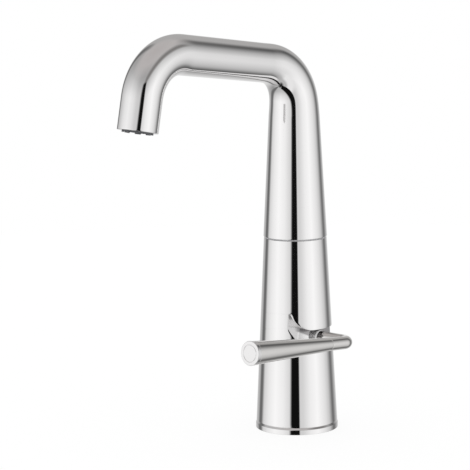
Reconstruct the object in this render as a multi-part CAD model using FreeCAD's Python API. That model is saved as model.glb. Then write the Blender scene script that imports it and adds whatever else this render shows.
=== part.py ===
import FreeCAD, Part

import math
import os

# A single-lever basin mixer tap with a swivel spout, in millimetres.
# +Z is up and the origin is the centre of the base's underside, on the deck.
# The spout points along -Y, and the lever leaves the column along +X and then runs along -Y.

Vector = FreeCAD.Vector
X_AXIS = Vector(1, 0, 0)
Z_AXIS = Vector(0, 0, 1)

# Clearances
running_clearance = 0.05
seat_clearance = 0.02
ball_clearance = 0.3
overcut = 1.0

# Base ring and its seal
base_radius = 26.0
base_ring_height = 4.4
base_ring_bevel = 1.4
base_ring_bevel_inset = 1.0
base_ring_width = 6.0
seal_inset = 2.4
seal_width = 2.0
seal_depth = 1.5

# Column
column_foot_inset = 0.4
column_seam_radius = 19.68
seam_height = 121.5
column_edge_bevel = 0.4
lower_cavity_inset = 8.5

# Inlet manifold in the column's foot
manifold_top = 14.0
port_radius = 4.5
port_depth = 10.5
port_spacing = 17.0
port_to_tube = 3.5
port_passage_overlap = 2.0
stud_hole_radius = 3.4
stud_hole_depth = 11.0

# Hot and cold tubes inside the column
tube_radius = 3.0
tube_wall = 0.7
tube_socket_depth = 1.5
tube_from_cavity_wall = 5.0
tube_spacing = 9.0

# Lever's recess in the column
lever_height = 59.7
recess_floor = 11.0
recess_ceiling = 5.6
recess_corner_radius = 10.5
recess_front = 18.0
recess_arc_radius = 20.0
recess_arc_rise = 11.0

# Ball valve, lying along X with the ball's centre on the column's axis, put in from behind
valve_bore_radius = 12.6
valve_back = 17.0
valve_floor_web = 5.6
gasket_thickness = 1.5
gasket_width = 4.0
ball_radius = 9.0
ball_chamber_radius = 4.0
valve_seat_radius = 3.2
valve_seat_bore = 1.8
valve_seat_length = 3.2
valve_seat_drop = 2.0
outlet_passage_radius = 3.0
outlet_passage_back = 8.0
cam_depth = 5.0
recess_dome_radius = 15.2
stem_radius = 2.5
stem_end = 31.0
stem_slot_clearance = 0.5
swing_limit = 22.0

# Swing guide, the small hub round the lever's root
guide_headroom = 0.8
guide_end = 20.2
guide_edge_radius = 1.0

# Lever
leg_radius = 4.0
leg_gap = 0.3
lever_reach = 44.4
elbow_radius = 6.0
elbow_arm = 19.9
lever_slope = 4.6
bar_length = 90.1
bar_end_radius = 7.3
cap_thickness = 2.5
cap_bevel = 0.2
cap_ring_radius = 4.8
cap_ring_width = 0.5
cap_ring_depth = 0.3
dowel_radius = 2.5
dowel_length = 8.0
screw_radius = 1.5
screw_from_root = 5.5
screw_recess = 0.4
screw_seat_depth = 1.0
screw_socket_width = 1.5
screw_socket_depth = 1.2

# Swivel between column and spout
glide_ring_thickness = 0.7
glide_ring_inset = 0.5
spigot_radius = 9.0
spigot_bore = 6.0
spigot_socket_depth = 28.0
bush_outer_radius = 13.0
bush_length = 32.0
clip_thickness = 1.2
clip_groove_depth = 0.8
clip_lip = 2.0
oring_thickness = 2.4
oring_positions = (8.0, 24.0)
spigot_head = 2.0
spout_bore_headroom = 3.0

# Spout
spout_foot_step = 0.25
bend_start_radius = 15.85
arm_start_radius = 12.05
arm_end_radius = 12.1
arm_axis_height = 228.3
arm_slope = 6.85
spout_reach = 124.9
rear_bend_reach = 30.5
rear_bend_easing = 0.25
front_bend_reach = 29.2
front_bend_easing = 0.1
outlet_tilt = 11.6
outlet_height = 197.8
waterway_radius = 7.4
bend_sections = 13
bend_steps = 40

# Aerator in the outlet
aerator_radius = 9.2
aerator_depth = 13.0
aerator_wall = 1.2
aerator_reveal = 1.0
aerator_notch_width = 3.6
aerator_notch_depth = 0.6
aerator_notches = 8
washer_thickness = 1.6
washer_bore = 7.0
core_height = 5.0
core_hole_radius = 0.75
core_hole_pitch = 2.1
screen_thickness = 0.8
screen_hole_radius = 0.6
regulator_thickness = 2.4
regulator_bore = 2.2

# Radii, heights and lengths that follow from the sizes above
base_ring_bore = base_radius - base_ring_width
seal_outer_radius = base_radius - seal_inset
seal_inner_radius = seal_outer_radius - seal_width
column_bottom_radius = base_radius - column_foot_inset
manifold_radius = base_ring_bore - running_clearance
lower_cavity_radius = base_radius - lower_cavity_inset
lower_cavity_top = lever_height - valve_bore_radius - valve_floor_web
tube_back = lower_cavity_radius - tube_from_cavity_wall
port_back = tube_back - port_to_tube
column_top = seam_height - glide_ring_thickness / 2
spout_bottom = column_top + glide_ring_thickness + running_clearance
spigot_bottom = column_top - spigot_socket_depth
bush_top = spout_bottom + bush_length
clip_bottom = bush_top + running_clearance
spigot_top = clip_bottom + clip_thickness + spigot_head
spout_bore_top = spigot_top + spout_bore_headroom
valve_body_radius = valve_bore_radius - running_clearance
carrier_back = gasket_thickness - valve_back
valve_centre = Vector(0, 0, lever_height)
socket_radius = ball_radius + ball_clearance
guide_inner_radius = recess_dome_radius + ball_clearance
guide_radius = recess_ceiling - guide_headroom
leg_start = guide_end + leg_gap


def column_radius(height):
    """Outer radius of the column's cone at a height above the deck."""
    share = (height - base_ring_height) / (seam_height - base_ring_height)
    return column_bottom_radius + (column_seam_radius - column_bottom_radius) * share


def cylinder_z(radius, bottom, top, x=0.0, y=0.0):
    """Upright cylinder between two heights."""
    return Part.makeCylinder(radius, top - bottom, Vector(x, y, bottom), Z_AXIS)


def tube_z(outer, inner, bottom, top, x=0.0, y=0.0):
    """Upright tube between two heights."""
    return cylinder_z(outer, bottom, top, x, y).cut(cylinder_z(inner, bottom, top, x, y))


def cylinder_x(radius, start, end, y=0.0, rise=0.0):
    """Cylinder along X at the lever's height, shifted by y and rise."""
    return Part.makeCylinder(radius, end - start, Vector(start, y, lever_height + rise), X_AXIS)


def box_between(low, high):
    """Box between two opposite corners."""
    size = high.sub(low)
    return Part.makeBox(size.x, size.y, size.z, low)


def export(shape, name):
    """Write one piece to its file."""
    shape.exportStep(os.path.join("parts", name + ".step"))


# Base ring and seal

def base_seal():
    """Flat rubber ring let into the underside of the base ring."""
    return tube_z(seal_outer_radius, seal_inner_radius, 0, seal_depth)


def base_ring():
    """Turned ring under the column, bevelled at its upper edge, with a groove for the seal."""
    straight = cylinder_z(base_radius, 0, base_ring_height - base_ring_bevel)
    bevel = Part.makeCone(base_radius, base_radius - base_ring_bevel_inset, base_ring_bevel,
                          Vector(0, 0, base_ring_height - base_ring_bevel), Z_AXIS)
    ring = straight.fuse(bevel)
    ring = ring.cut(cylinder_z(base_ring_bore, 0, base_ring_height))
    groove = tube_z(seal_outer_radius + seat_clearance, seal_inner_radius - seat_clearance, 0, seal_depth)
    return ring.cut(groove).removeSplitter()


# Column

def recess_tool():
    """Solid removed for the lever: an outline in the YZ plane carried outwards from the flat floor."""
    far = 2 * base_radius
    ceiling = lever_height + recess_ceiling
    horn = ceiling + recess_corner_radius
    arc_centre = lever_height + recess_arc_rise
    ledge = arc_centre - recess_arc_radius
    half = math.sqrt(0.5)

    def point(y, z):
        return Vector(recess_floor, y, z)

    corner_start = point(recess_corner_radius - recess_front, ceiling)
    corner_middle = point(recess_corner_radius * (1 - half) - recess_front,
                          ceiling + recess_corner_radius * (1 - half))
    corner_end = point(-recess_front, horn)
    arc_start = point(-recess_arc_radius, arc_centre)
    arc_middle = point(-recess_arc_radius * half, arc_centre - recess_arc_radius * half)
    arc_end = point(0, ledge)
    edges = [
        Part.LineSegment(point(far, ceiling), corner_start).toShape(),
        Part.Arc(corner_start, corner_middle, corner_end).toShape(),
        Part.LineSegment(corner_end, point(-far, horn)).toShape(),
        Part.LineSegment(point(-far, horn), point(-far, arc_centre)).toShape(),
        Part.LineSegment(point(-far, arc_centre), arc_start).toShape(),
        Part.Arc(arc_start, arc_middle, arc_end).toShape(),
        Part.LineSegment(arc_end, point(far, ledge)).toShape(),
        Part.LineSegment(point(far, ledge), point(far, ceiling)).toShape(),
    ]
    return Part.Face(Part.Wire(edges)).extrude(Vector(far, 0, 0))


def tube_places():
    """The hot and cold tubes' y positions."""
    return (-tube_spacing / 2, tube_spacing / 2)


def column_outside():
    """Outer form of the column: a long taper with a small bevel at the foot."""
    lower_edge = base_ring_height + column_edge_bevel
    bevel = Part.makeCone(column_bottom_radius - column_edge_bevel, column_radius(lower_edge),
                          column_edge_bevel, Vector(0, 0, base_ring_height), Z_AXIS)
    taper = Part.makeCone(column_radius(lower_edge), column_radius(column_top),
                          column_top - lower_edge, Vector(0, 0, lower_edge), Z_AXIS)
    return bevel.fuse(taper).removeSplitter()


def column():
    """Cast column with a foot bore, an inner cavity, a valve bore from behind and the lever's recess.

    A low dome stays on the recess's flat floor, and the stem comes out through a slot in it.
    """
    foot_bore = cylinder_z(base_ring_bore, base_ring_height, manifold_top)
    cavity = cylinder_z(lower_cavity_radius, manifold_top, lower_cavity_top)
    spigot_socket = cylinder_z(spigot_radius + seat_clearance, spigot_bottom, column_top)
    valve_bore = cylinder_x(valve_bore_radius, -2 * base_radius, cam_depth)
    recess = recess_tool().cut(Part.makeSphere(recess_dome_radius, valve_centre))
    body = column_outside().cut(foot_bore).cut(cavity).cut(spigot_socket)
    body = body.cut(valve_bore).cut(recess).cut(ball_space()).cut(stem_slot())
    body = body.cut(cylinder_z(outlet_passage_radius, lever_height, spigot_bottom, -outlet_passage_back))
    for y in tube_places():
        socket = cylinder_z(tube_radius + seat_clearance, lower_cavity_top,
                            lower_cavity_top + tube_socket_depth, -tube_back, y)
        passage = cylinder_z(tube_radius - tube_wall, lower_cavity_top, lever_height, -tube_back, y)
        body = body.cut(socket).cut(passage)
    return body


# Inlet manifold and tubes

def inlet_manifold():
    """Plug in the column's foot with two hose ports beside a central stud hole in its underside."""
    plug = cylinder_z(manifold_radius, 0, manifold_top)
    plug = plug.cut(cylinder_z(stud_hole_radius, 0, stud_hole_depth))
    for side in (-1, 1):
        plug = plug.cut(cylinder_z(port_radius, 0, port_depth, -port_back, side * port_spacing / 2))
    for y in tube_places():
        plug = plug.cut(cylinder_z(tube_radius + seat_clearance, manifold_top - tube_socket_depth,
                                   manifold_top, -tube_back, y))
        plug = plug.cut(cylinder_z(tube_radius - tube_wall, port_depth - port_passage_overlap,
                                   manifold_top, -tube_back, y))
    return plug


def supply_tube(y):
    """Copper tube from the manifold to the valve's underside."""
    return tube_z(tube_radius, tube_radius - tube_wall, manifold_top - tube_socket_depth,
                  lower_cavity_top + tube_socket_depth, -tube_back, y)


# Ball valve

def ball_space():
    """Sphere that the ball turns in."""
    return Part.makeSphere(socket_radius, valve_centre)


def stem_slot():
    """Level slot that lets the stem swing from closed to fully open."""
    half = stem_radius + stem_slot_clearance
    reach = recess_dome_radius + overcut
    side = reach * math.tan(math.radians(swing_limit)) + half / math.cos(math.radians(swing_limit))
    return box_between(Vector(0, -half, lever_height - half), Vector(reach, side, lever_height + half))


def carrier_gasket():
    """Rubber ring between the valve's carrier and the plug behind it."""
    outer = cylinder_x(valve_body_radius, -valve_back, carrier_back)
    return outer.cut(cylinder_x(valve_body_radius - gasket_width, -valve_back, carrier_back))


def rear_plug():
    """Screwed plug that closes the valve's bore at the back, flush with the column."""
    return cylinder_x(valve_body_radius, -2 * base_radius, -valve_back).common(column_outside())


def seat_start():
    """X of the flat back of the two rubber seats."""
    across = tube_spacing / 2
    return -math.sqrt(socket_radius ** 2 - across ** 2 - valve_seat_drop ** 2) - valve_seat_length


def seat_carrier():
    """Rear half of the valve: a socket for the ball, two inlet seats and one outlet passage."""
    block = cylinder_x(valve_body_radius, carrier_back, 0).cut(ball_space())
    for y in tube_places():
        seat_hole = cylinder_x(valve_seat_radius + seat_clearance, seat_start(), 0, y, -valve_seat_drop)
        block = block.cut(seat_hole)
        block = block.cut(cylinder_x(valve_seat_bore, -tube_back, 0, y, -valve_seat_drop))
        block = block.cut(cylinder_z(valve_seat_bore, lever_height - valve_bore_radius,
                                     lever_height - valve_seat_drop, -tube_back, y))
    outlet = cylinder_z(outlet_passage_radius, lever_height, lever_height + valve_bore_radius,
                        -outlet_passage_back)
    return block.cut(outlet)


def inlet_seats():
    """Two rubber seats pressed against the back of the ball."""
    seats = []
    for y in tube_places():
        seat = cylinder_x(valve_seat_radius, seat_start(), 0, y, -valve_seat_drop)
        seat = seat.cut(cylinder_x(valve_seat_bore, seat_start(), 0, y, -valve_seat_drop))
        seats.append(seat.cut(ball_space()))
    return Part.makeCompound([solid for seat in seats for solid in seat.Solids])


def valve_ball():
    """Hollowed ball with the stem that carries the lever, and a seat in the stem for the set screw."""
    ball = Part.makeSphere(ball_radius, valve_centre)
    ball = ball.cut(cylinder_x(ball_chamber_radius, -ball_radius, 0))
    ball = ball.fuse(cylinder_x(stem_radius, ball_radius / 2, stem_end))
    screw_seat = Part.makeCylinder(screw_radius + seat_clearance, leg_radius, screw_top(), Z_AXIS * -1)
    return ball.removeSplitter().cut(screw_seat)


def ball_cam():
    """Front half of the ball's socket, with the slot that guides the stem."""
    return cylinder_x(valve_body_radius, 0, cam_depth).cut(ball_space()).cut(stem_slot())


def swing_guide():
    """Round hub at the lever's root that slides over the recess's dome and guides the stem."""
    rounded_start = guide_end - guide_edge_radius
    rim = Part.makeTorus(guide_radius - guide_edge_radius, guide_edge_radius,
                         Vector(rounded_start, 0, lever_height), X_AXIS)
    hub = cylinder_x(guide_radius, 0, rounded_start)
    hub = hub.fuse(cylinder_x(guide_radius - guide_edge_radius, 0, guide_end)).fuse(rim)
    hub = hub.cut(Part.makeSphere(guide_inner_radius, valve_centre))
    return hub.cut(cylinder_x(stem_radius + running_clearance, 0, guide_end)).removeSplitter()


# Lever

def bar_frame():
    """Start point of the bar's axis, at the elbow's corner, and the bar's direction."""
    slope = math.radians(lever_slope)
    return Vector(lever_reach, 0, lever_height), Vector(0, -math.cos(slope), math.sin(slope))


def bar_radius(distance):
    """Radius of the tapered bar at a distance from the elbow's corner."""
    share = (distance - elbow_arm) / (bar_length - elbow_arm)
    return leg_radius + (bar_end_radius - leg_radius) * share


def along_bar(distance):
    """Point on the bar's axis."""
    corner, direction = bar_frame()
    return corner.add(direction * distance)


def lever_elbow():
    """Leg, bend and short arm of the lever, with a socket for the stem and a dowel for the bar."""
    corner, direction = bar_frame()
    bend_start = corner.sub(X_AXIS * elbow_radius)
    leg = Part.makeCylinder(leg_radius, bend_start.x - leg_start, Vector(leg_start, 0, lever_height), X_AXIS)
    section = Part.Face(Part.Wire(Part.Circle(bend_start, X_AXIS, leg_radius).toShape()))
    bend_centre = bend_start.add(direction * elbow_radius)
    bend = section.revolve(bend_centre, X_AXIS.cross(direction), 90)
    arm_start = along_bar(elbow_radius)
    arm = Part.makeCylinder(leg_radius, elbow_arm - elbow_radius, arm_start, direction)
    dowel = Part.makeCylinder(dowel_radius, dowel_length, along_bar(elbow_arm), direction)
    elbow = leg.fuse(bend).fuse(arm).fuse(dowel).removeSplitter()
    socket = cylinder_x(stem_radius + seat_clearance, leg_start, stem_end + seat_clearance)
    return elbow.cut(socket).cut(screw_hole())


def screw_place():
    """Axis point of the set screw, on the leg's centre line."""
    return Vector(leg_start + screw_from_root, 0, lever_height)


def screw_top():
    """Inner end of the set screw, at the bottom of its seat in the stem."""
    return screw_place().sub(Z_AXIS * (stem_radius - screw_seat_depth))


def screw_hole():
    """Radial hole under the leg for the set screw."""
    return Part.makeCylinder(screw_radius + seat_clearance, leg_radius * 2, screw_place(), Z_AXIS * -1)


def lever_set_screw():
    """Hexagon-socket set screw that clamps the leg to the stem."""
    length = leg_radius - screw_recess - stem_radius + screw_seat_depth
    screw = Part.makeCylinder(screw_radius, length - seat_clearance,
                              screw_top().sub(Z_AXIS * seat_clearance), Z_AXIS * -1)
    mouth = screw_top().sub(Z_AXIS * length)
    corner = Vector(screw_socket_width / math.sqrt(3), 0, 0)
    corners = [mouth.add(FreeCAD.Rotation(Z_AXIS, 60 * index).multVec(corner)) for index in range(7)]
    socket = Part.Face(Part.makePolygon(corners)).extrude(Z_AXIS * screw_socket_depth)
    return screw.cut(socket)


def lever_bar():
    """Tapered bar that grows towards its free end, hollowed for the dowels at both ends."""
    direction = bar_frame()[1]
    body_end = bar_length - cap_thickness
    bar = Part.makeCone(bar_radius(elbow_arm), bar_radius(body_end), body_end - elbow_arm,
                        along_bar(elbow_arm), direction)
    hole = dowel_radius + seat_clearance
    depth = dowel_length + seat_clearance
    bar = bar.cut(Part.makeCylinder(hole, depth, along_bar(elbow_arm), direction))
    return bar.cut(Part.makeCylinder(hole, depth, along_bar(body_end), direction * -1))


def lever_end_cap():
    """Flat end disc with a turned ring line, held by a dowel in the bar."""
    direction = bar_frame()[1]
    body_end = bar_length - cap_thickness
    bevel_start = bar_length - cap_bevel
    disc = Part.makeCone(bar_radius(body_end), bar_radius(bevel_start), cap_thickness - cap_bevel,
                         along_bar(body_end), direction)
    edge = Part.makeCone(bar_radius(bevel_start), bar_end_radius - cap_bevel, cap_bevel,
                         along_bar(bevel_start), direction)
    dowel = Part.makeCylinder(dowel_radius, dowel_length, along_bar(body_end), direction * -1)
    line_start = along_bar(bar_length - cap_ring_depth)
    line = Part.makeCylinder(cap_ring_radius + cap_ring_width, cap_ring_depth, line_start, direction)
    line = line.cut(Part.makeCylinder(cap_ring_radius, cap_ring_depth, line_start, direction))
    return disc.fuse(edge).fuse(dowel).removeSplitter().cut(line)


# Swivel

def oring_bottoms():
    """Heights of the two O-ring grooves on the spigot."""
    return [spout_bottom + position for position in oring_positions]


def swivel_spigot():
    """Fixed brass nipple that the spout turns on, with two O-ring grooves and a clip groove."""
    spigot = tube_z(spigot_radius, spigot_bore, spigot_bottom, spigot_top)
    for bottom in oring_bottoms():
        spigot = spigot.cut(tube_z(spigot_radius + overcut, spigot_radius - oring_thickness / 2, bottom,
                                   bottom + oring_thickness))
    return spigot.cut(tube_z(spigot_radius + overcut, spigot_radius - clip_groove_depth, clip_bottom,
                             clip_bottom + clip_thickness))


def spigot_orings():
    """Two rubber rings in the spigot's grooves."""
    rings = []
    for bottom in oring_bottoms():
        ring = tube_z(spigot_radius + running_clearance / 2, spigot_radius - oring_thickness / 2, bottom,
                      bottom + oring_thickness)
        rings.extend(ring.Solids)
    return Part.makeCompound(rings)


def retaining_clip():
    """Open spring ring in the spigot's top groove that keeps the spout on."""
    ring = tube_z(spigot_radius + clip_lip, spigot_radius - clip_groove_depth, clip_bottom,
                  clip_bottom + clip_thickness)
    mouth = box_between(Vector(-clip_lip, 0, clip_bottom),
                        Vector(clip_lip, 2 * spigot_radius, clip_bottom + clip_thickness))
    return ring.cut(mouth)


def glide_ring():
    """Thin plastic ring in the seam between the column and the spout."""
    return tube_z(column_radius(column_top) - glide_ring_inset, spigot_radius + running_clearance, column_top,
                  column_top + glide_ring_thickness)


def swivel_bush():
    """Plastic bush fixed in the spout that runs on the spigot."""
    return tube_z(bush_outer_radius - seat_clearance, spigot_radius + running_clearance, spout_bottom,
                  bush_top)


# Spout

def spout_point(forward, height):
    """Point in the spout's plane."""
    return Vector(0, -forward, height)


def arm_direction():
    """Direction of the arm's axis, rising a little towards the outlet."""
    slope = math.radians(arm_slope)
    return spout_point(math.cos(slope), math.sin(slope))


def outlet_direction():
    """Direction of the outlet's axis, down and a little forward."""
    tilt = math.radians(outlet_tilt)
    return spout_point(math.sin(tilt), -math.cos(tilt))


def turned_up(angle):
    """Direction in the spout's plane at an angle from straight up, turning towards the outlet."""
    return FreeCAD.Rotation(X_AXIS, angle).multVec(Z_AXIS)


rear_turn = 90 - arm_slope
front_turn = 90 + arm_slope - outlet_tilt
rear_corner = spout_point(0, arm_axis_height)
front_corner = rear_corner.add(arm_direction() * (spout_reach / math.cos(math.radians(arm_slope))))
rear_bend_start = rear_corner.sub(Z_AXIS * rear_bend_reach)
arm_start = rear_corner.add(arm_direction() * rear_bend_reach)
arm_end = front_corner.sub(arm_direction() * front_bend_reach)
outlet_start = front_corner.add(outlet_direction() * front_bend_reach)
outlet_length = (outlet_start.z - outlet_height) / math.cos(math.radians(outlet_tilt))
lip_centre = outlet_start.add(outlet_direction() * outlet_length)
rear_arc_radius = rear_bend_reach / math.tan(math.radians(rear_turn / 2))
front_arc_radius = front_bend_reach / math.tan(math.radians(front_turn / 2))
rear_arc_centre = rear_bend_start.add(turned_up(90) * rear_arc_radius)
front_arc_centre = arm_end.add(turned_up(rear_turn + 90) * front_arc_radius)


def disc(centre, normal, radius):
    """Round face across the spout's axis."""
    return Part.Face(Part.Wire(Part.Circle(centre, normal, radius).toShape()))


def run(start, end, start_radius, end_radius):
    """Straight stretch of the spout, round and evenly tapered."""
    axis = end.sub(start)
    if abs(start_radius - end_radius) < 1e-6:
        return Part.makeCylinder(start_radius, axis.Length, start, axis)
    return Part.makeCone(start_radius, end_radius, axis.Length, start, axis)


def bend_line(turn, reach, easing):
    """Centre line of a bend as (along, aside, angle), from its start at reach before the corner.

    The curvature grows evenly over the first share of the line, which easing gives, and falls evenly over
    the last, so that the bend flows out of the straight stretches.
    """
    steps = bend_steps * (bend_sections - 1)
    along = 0.0
    aside = 0.0
    angle = 0.0
    line = [(along, aside, angle)]
    for index in range(steps):
        share = (index + 0.5) / steps
        gain = min(share / easing, 1.0, (1.0 - share) / easing) / (1.0 - easing) * turn / steps
        along += math.cos(angle + gain / 2) / steps
        aside += math.sin(angle + gain / 2) / steps
        angle += gain
        line.append((along, aside, angle))
    size = reach * math.sin(turn) / aside
    return [(size * along, size * aside, angle) for along, aside, angle in line[::bend_steps]]


def bend(start, heading, turn, reach, easing, start_radius, end_radius):
    """Bend of the spout's outside, through circles across its centre line."""
    line = bend_line(math.radians(turn), reach, easing)
    circles = []
    for index, (along, aside, angle) in enumerate(line):
        share = index / (len(line) - 1)
        centre = start.add(turned_up(heading) * along).add(turned_up(heading + 90) * aside)
        radius = start_radius + (end_radius - start_radius) * share
        circle = Part.Wire(Part.Circle(Vector(0, 0, 0), Z_AXIS, radius).toShape())
        circle.Placement = FreeCAD.Placement(centre, FreeCAD.Rotation(X_AXIS, heading + math.degrees(angle)))
        circles.append(circle)
    return Part.makeLoft(circles, True, False)


def spout_outside():
    """Outer form of the spout: tapered foot, bend, arm, bend and outlet."""
    foot_start = Vector(0, 0, spout_bottom)
    pieces = [
        run(foot_start, rear_bend_start, column_radius(spout_bottom) + spout_foot_step, bend_start_radius),
        bend(rear_bend_start, 0, rear_turn, rear_bend_reach, rear_bend_easing, bend_start_radius,
             arm_start_radius),
        run(arm_start, arm_end, arm_start_radius, arm_end_radius),
        bend(arm_end, rear_turn, front_turn, front_bend_reach, front_bend_easing, arm_end_radius,
             arm_end_radius),
        run(outlet_start, lip_centre, arm_end_radius, arm_end_radius),
    ]
    return pieces[0].multiFuse(pieces[1:])


def waterway():
    """Round passage through the spout, with the bush's bore below and the aerator's bore at the lip."""
    bore_top = Vector(0, 0, spout_bore_top)
    aerator_seat = lip_centre.sub(outlet_direction() * aerator_depth)
    rear_section = disc(rear_bend_start, Z_AXIS, waterway_radius)
    front_section = disc(arm_end, arm_direction(), waterway_radius)
    pieces = [
        cylinder_z(bush_outer_radius, spout_bottom, spout_bore_top),
        run(bore_top, rear_bend_start, waterway_radius, waterway_radius),
        rear_section.revolve(rear_arc_centre, X_AXIS, rear_turn),
        run(arm_start, arm_end, waterway_radius, waterway_radius),
        front_section.revolve(front_arc_centre, X_AXIS, front_turn),
        run(outlet_start, lip_centre, waterway_radius, waterway_radius),
        run(aerator_seat, lip_centre, aerator_radius + seat_clearance, aerator_radius + seat_clearance),
    ]
    return pieces[0].multiFuse(pieces[1:])


def spout():
    """Chrome-plated swivel spout."""
    return spout_outside().cut(waterway())


# Aerator, built along the outlet's axis from the lip inwards

def in_outlet(shape):
    """Move a piece from the origin, with +Z inwards, to the outlet's lip."""
    turn = FreeCAD.Rotation(Z_AXIS, outlet_direction() * -1)
    placed = shape.copy()
    placed.Placement = FreeCAD.Placement(lip_centre, turn)
    return placed


housing_top = aerator_depth - washer_thickness
housing_bore = aerator_radius - aerator_wall
core_bottom = aerator_reveal
core_top = core_bottom + core_height
screen_top = core_top + screen_thickness
regulator_top = screen_top + regulator_thickness


def aerator_housing():
    """Threaded ring with coin notches that stands a little proud of the lip."""
    ring = tube_z(aerator_radius, housing_bore, -aerator_reveal, housing_top)
    notch_reach = 2 * aerator_radius
    for index in range(aerator_notches):
        notch = box_between(Vector(housing_bore - aerator_wall, -aerator_notch_width / 2, -aerator_reveal),
                            Vector(notch_reach, aerator_notch_width / 2,
                                   aerator_notch_depth - aerator_reveal))
        notch.rotate(Vector(0, 0, 0), Z_AXIS, 360 * (index + 0.5) / aerator_notches)
        ring = ring.cut(notch)
    return in_outlet(ring)


def holed_disc(radius, bottom, top, hole_radius, pitch):
    """Disc with a square pattern of holes that keeps a rim."""
    plate = cylinder_z(radius, bottom, top)
    count = int(radius / pitch)
    holes = []
    for column_index in range(-count, count + 1):
        for row_index in range(-count, count + 1):
            x = column_index * pitch
            y = row_index * pitch
            if math.hypot(x, y) + 2 * hole_radius < radius:
                holes.append(cylinder_z(hole_radius, bottom, top, x, y))
    return plate.cut(Part.makeCompound(holes))


def aerator_core():
    """Plastic honeycomb that breaks the stream."""
    return in_outlet(holed_disc(housing_bore - seat_clearance, core_bottom, core_top, core_hole_radius,
                                core_hole_pitch))


def aerator_screen():
    """Perforated steel screen over the honeycomb."""
    return in_outlet(holed_disc(housing_bore - seat_clearance, core_top, screen_top, screen_hole_radius,
                                core_hole_pitch))


def flow_regulator():
    """Rubber-faced flow limiter behind the screen."""
    return in_outlet(tube_z(housing_bore - seat_clearance, regulator_bore, screen_top, regulator_top))


def aerator_washer():
    """Rubber washer between the aerator's housing and its seat in the spout."""
    return in_outlet(tube_z(aerator_radius - seat_clearance, washer_bore, housing_top, aerator_depth))


os.makedirs("parts", exist_ok=True)
pieces = {
    "base_ring": base_ring(),
    "base_seal": base_seal(),
    "column": column(),
    "inlet_manifold": inlet_manifold(),
    "cold_tube": supply_tube(tube_places()[0]),
    "hot_tube": supply_tube(tube_places()[1]),
    "carrier_gasket": carrier_gasket(),
    "seat_carrier": seat_carrier(),
    "inlet_seats": inlet_seats(),
    "ball_cam": ball_cam(),
    "rear_plug": rear_plug(),
    "swing_guide": swing_guide(),
    "valve_ball": valve_ball(),
    "lever_elbow": lever_elbow(),
    "lever_set_screw": lever_set_screw(),
    "lever_bar": lever_bar(),
    "lever_end_cap": lever_end_cap(),
    "swivel_spigot": swivel_spigot(),
    "spigot_orings": spigot_orings(),
    "retaining_clip": retaining_clip(),
    "glide_ring": glide_ring(),
    "swivel_bush": swivel_bush(),
    "spout": spout(),
    "aerator_housing": aerator_housing(),
    "aerator_core": aerator_core(),
    "aerator_screen": aerator_screen(),
    "flow_regulator": flow_regulator(),
    "aerator_washer": aerator_washer(),
}
for name, shape in pieces.items():
    export(shape, name)
    print(name, len(shape.Solids), "solid", shape.isValid(), round(shape.Volume, 1))
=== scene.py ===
"""Basin mixer tap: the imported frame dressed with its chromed, satin, brass and rubber surfaces.

Sizes are in millimetres from the part's own values, and meshes are put in in metres.
+Z is up, the spout points along -Y, and the lever leaves the column along +X.
"""
import math

import bpy
import numpy as np
from mathutils import Matrix, Vector


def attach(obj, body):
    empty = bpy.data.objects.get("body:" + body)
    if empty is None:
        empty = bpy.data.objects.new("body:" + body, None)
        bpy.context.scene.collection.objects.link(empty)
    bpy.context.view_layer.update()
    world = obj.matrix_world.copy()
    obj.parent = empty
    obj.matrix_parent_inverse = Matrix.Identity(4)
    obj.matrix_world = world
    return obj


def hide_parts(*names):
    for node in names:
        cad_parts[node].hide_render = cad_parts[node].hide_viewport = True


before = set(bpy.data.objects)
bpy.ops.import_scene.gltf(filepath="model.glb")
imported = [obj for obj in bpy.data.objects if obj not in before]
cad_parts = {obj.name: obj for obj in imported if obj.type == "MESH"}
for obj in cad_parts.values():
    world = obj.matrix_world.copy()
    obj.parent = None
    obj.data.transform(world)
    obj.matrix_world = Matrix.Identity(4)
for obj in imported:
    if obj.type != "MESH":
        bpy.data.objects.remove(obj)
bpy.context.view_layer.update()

# Base ring
# A turned brass ring that the column stands on, chrome plated, with a narrow bevel round its upper edge.
# The stud in the manifold above it pulls it down onto the basin, and a rubber seal sits in its underside.
MILLIMETRE = 0.001
METRE = 1000.0
sharp_angle = 35.0
base_radius = 26.0
base_ring_height = 4.4
base_ring_bevel = 1.4
base_ring_bevel_inset = 1.0
base_ring_bore = 20.0
seal_groove_outer = 23.62
seal_groove_inner = 21.58
seal_groove_depth = 1.5
turned_edge = 0.15


def surface(name, points, ring=False, close_start=False, close_end=False):
    """A mesh from a grid of points, rows by columns by xyz in millimetres.

    Each point, its right-hand neighbour and the two above them make a quad. The last column joins the
    first, ring joins the last row to the first, and an end row closes with a fan round its own middle.
    Edges that turn by more than sharp_angle degrees stay sharp, and the rest is shaded smooth.
    """
    rows, columns = points.shape[:2]
    index = np.arange(rows * columns).reshape(rows, columns)
    above = np.roll(index, -1, axis=0) if ring else index[1:]
    here = index if ring else index[:-1]
    quads = np.stack([here, np.roll(here, -1, axis=1), np.roll(above, -1, axis=1), above], axis=-1)
    faces = quads.reshape(-1, 4).tolist()
    vertices = [points.reshape(-1, 3)]
    middle = rows * columns
    if close_start:
        fan = np.stack([np.roll(index[0], -1), index[0], np.full(columns, middle)], axis=-1)
        faces += fan.tolist()
        vertices.append(points[0].mean(axis=0, keepdims=True))
        middle += 1
    if close_end:
        fan = np.stack([index[-1], np.roll(index[-1], -1), np.full(columns, middle)], axis=-1)
        faces += fan.tolist()
        vertices.append(points[-1].mean(axis=0, keepdims=True))
    mesh = bpy.data.meshes.new(name)
    mesh.from_pydata((np.concatenate(vertices) * MILLIMETRE).tolist(), [], faces)
    mesh.validate()
    mesh.shade_smooth()
    mesh.set_sharp_from_angle(angle=math.radians(sharp_angle))
    piece = bpy.data.objects.new(name, mesh)
    bpy.context.scene.collection.objects.link(piece)
    return piece


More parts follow.
